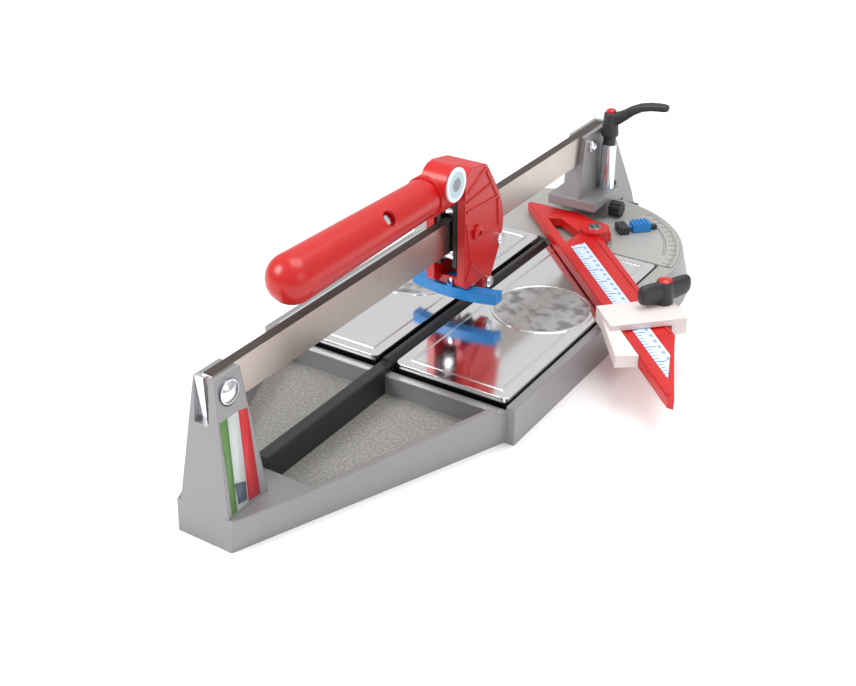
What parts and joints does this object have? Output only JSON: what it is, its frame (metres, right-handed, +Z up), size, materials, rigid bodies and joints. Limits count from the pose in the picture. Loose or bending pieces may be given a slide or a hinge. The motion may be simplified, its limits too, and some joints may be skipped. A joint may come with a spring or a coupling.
{
  "type": "tile cutter",
  "caption": "Manual rail tile cutter: grey wedge base with two sprung platens, red scoring head on a flat rail, red swivel fence with sliding stop and ratchet clamp lever.",
  "frame": {"origin": "middle of the guide rail's length, on the plane of the cut, at the underside of the base", "axes": "+Z up, +Y along the rail away from the user, +X to the user's right"},
  "size_m": [0.385, 0.696, 0.192],
  "materials": {
    "grey_casting": "cast, satin grey paint",
    "black_bar": "satin black",
    "rubber_black": "matt",
    "bright_steel": "polished",
    "rail_steel": "ground and satin",
    "platen_aluminium": "bright rolled sheet",
    "red_paint": "cast, gloss red paint",
    "red_plastic": "gloss red",
    "blue_plastic": "satin blue",
    "black_plastic": "satin black",
    "cream_plastic": "satin cream",
    "white_plate": "plain white",
    "dark_steel": "dark"
  },
  "bodies": {
    "base": {"base_casting": "grey_casting", "rubber_pads": "rubber_black", "breaking_bar": "black_bar", "column_bolts": "dark_steel", "breaking_bar_screws": "dark_steel", "guide_rail": "rail_steel", "front_column": "grey_casting", "rear_column": "grey_casting", "front_rail_bolt": "bright_steel", "rear_rail_bolt": "bright_steel", "rail_nuts": "bright_steel", "rail_end_plate": "bright_steel", "right_platen_springs": "dark_steel", "left_platen_springs": "dark_steel", "clamp_post": "bright_steel", "post_neck": "black_plastic", "angle_dial": "dark_steel", "latch_bracket": "black_plastic"},
    "right_platen_body": {"right_platen": "platen_aluminium", "right_platen_pins": "bright_steel"},
    "left_platen_body": {"left_platen": "platen_aluminium", "left_platen_pins": "bright_steel"},
    "carriage": {"carriage_yoke": "dark_steel", "roller_axles": "bright_steel", "head_pivot_bolts": "bright_steel"},
    "top_front_wheel": {"top_front_roller": "bright_steel"},
    "top_rear_wheel": {"top_rear_roller": "bright_steel"},
    "low_front_wheel": {"low_front_roller": "bright_steel"},
    "low_rear_wheel": {"low_rear_roller": "bright_steel"},
    "head": {"head_casting": "red_paint", "badge_plate": "white_plate", "handle_tube": "bright_steel", "handle_grip": "red_plastic", "grip_screw": "bright_steel", "head_screws": "bright_steel", "wheel_fork": "black_plastic", "wheel_axle": "bright_steel", "foot_pin": "bright_steel"},
    "scorer": {"scoring_wheel": "dark_steel"},
    "foot": {"breaker_foot": "blue_plastic"},
    "fence": {"swivel_fence": "red_paint", "fence_scale": "white_plate", "fence_shoe": "dark_steel", "fence_clamp_screw": "bright_steel"},
    "stop": {"tile_stop": "cream_plastic", "stop_stud": "bright_steel"},
    "stop_knob": {"wing_knob": "black_plastic", "knob_cap": "red_plastic"},
    "lever": {"clamp_lever": "black_plastic"},
    "button": {"release_button": "red_plastic"},
    "latch": {"angle_latch": "blue_plastic", "latch_tip": "black_plastic"},
    "left_screw": {"left_thumbscrew": "black_plastic"},
    "right_screw": {"right_thumbscrew": "black_plastic"}
  },
  "joints": [
    {"name": "carriage_slide", "type": "slide", "parent": "base", "child": "carriage", "axis": [0, 1, 0], "range_m": [-0.25, 0.165]},
    {"name": "head_lift", "type": "hinge", "parent": "carriage", "child": "head", "pos_m": [0, 0.03, 0.118], "axis": [-1, 0, 0], "range_deg": [0, 30]},
    {"name": "foot_rock", "type": "hinge", "parent": "head", "child": "foot", "pos_m": [0, 0.022, 0.07], "axis": [0, 1, 0], "range_deg": [-3, 3]},
    {"name": "scoring_spin", "type": "hinge", "parent": "head", "child": "scorer", "pos_m": [0, 0.047, 0.066], "axis": [1, 0, 0], "continuous": true},
    {"name": "top_front_spin", "type": "hinge", "parent": "carriage", "child": "top_front_wheel", "pos_m": [0, 0.022, 0.1383], "axis": [-1, 0, 0], "continuous": true},
    {"name": "top_rear_spin", "type": "hinge", "parent": "carriage", "child": "top_rear_wheel", "pos_m": [0, 0.052, 0.1383], "axis": [-1, 0, 0], "continuous": true},
    {"name": "low_front_spin", "type": "hinge", "parent": "carriage", "child": "low_front_wheel", "pos_m": [0, 0.022, 0.0957], "axis": [1, 0, 0], "continuous": true},
    {"name": "low_rear_spin", "type": "hinge", "parent": "carriage", "child": "low_rear_wheel", "pos_m": [0, 0.052, 0.0957], "axis": [1, 0, 0], "continuous": true},
    {"name": "right_platen_press", "type": "slide", "parent": "base", "child": "right_platen_body", "axis": [0, 0, -1], "range_m": [0, 0.003], "stiffness_N_per_m": 20000, "springref_m": -0.002, "deforming": ["right_platen_springs"]},
    {"name": "left_platen_press", "type": "slide", "parent": "base", "child": "left_platen_body", "axis": [0, 0, -1], "range_m": [0, 0.003], "stiffness_N_per_m": 20000, "springref_m": -0.002, "deforming": ["left_platen_springs"]},
    {"name": "fence_swivel", "type": "hinge", "parent": "base", "child": "fence", "pos_m": [0, 0.203, 0.045], "axis": [0, 0, 1], "range_deg": [0, 45]},
    {"name": "stop_slide", "type": "slide", "parent": "fence", "child": "stop", "axis": [0.7071, -0.7071, 0], "range_m": [-0.1, 0.085]},
    {"name": "wing_knob_turn", "type": "hinge", "parent": "stop", "child": "stop_knob", "pos_m": [0.16864, 0.10719, 0.067], "axis": [0, 0, 1], "continuous": true},
    {"name": "clamp_lever_turn", "type": "hinge", "parent": "base", "child": "lever", "pos_m": [0.019, 0.298, 0.135], "axis": [0, 0, 1], "range_deg": [-45, 90]},
    {"name": "release_button_press", "type": "slide", "parent": "lever", "child": "button", "axis": [0, 0, -1], "range_m": [0, 0.003], "stiffness_N_per_m": 400, "springref_m": -0.002},
    {"name": "latch_pull", "type": "slide", "parent": "base", "child": "latch", "axis": [0.7071, 0.7071, 0], "range_m": [0, 0.004], "stiffness_N_per_m": 500, "springref_m": -0.002},
    {"name": "left_thumbscrew_turn", "type": "hinge", "parent": "base", "child": "left_screw", "pos_m": [-0.03, 0.295, 0.047], "axis": [1, 0, 0], "continuous": true},
    {"name": "right_thumbscrew_turn", "type": "hinge", "parent": "base", "child": "right_screw", "pos_m": [0.034, 0.295, 0.047], "axis": [1, 0, 0], "continuous": true}
  ],
  "couplings": [
    {"joint": "top_front_spin", "follows": "carriage_slide", "rad_per_m": 166.67},
    {"joint": "top_rear_spin", "follows": "carriage_slide", "rad_per_m": 166.67},
    {"joint": "low_front_spin", "follows": "carriage_slide", "rad_per_m": 166.67},
    {"joint": "low_rear_spin", "follows": "carriage_slide", "rad_per_m": 166.67}
  ]
}
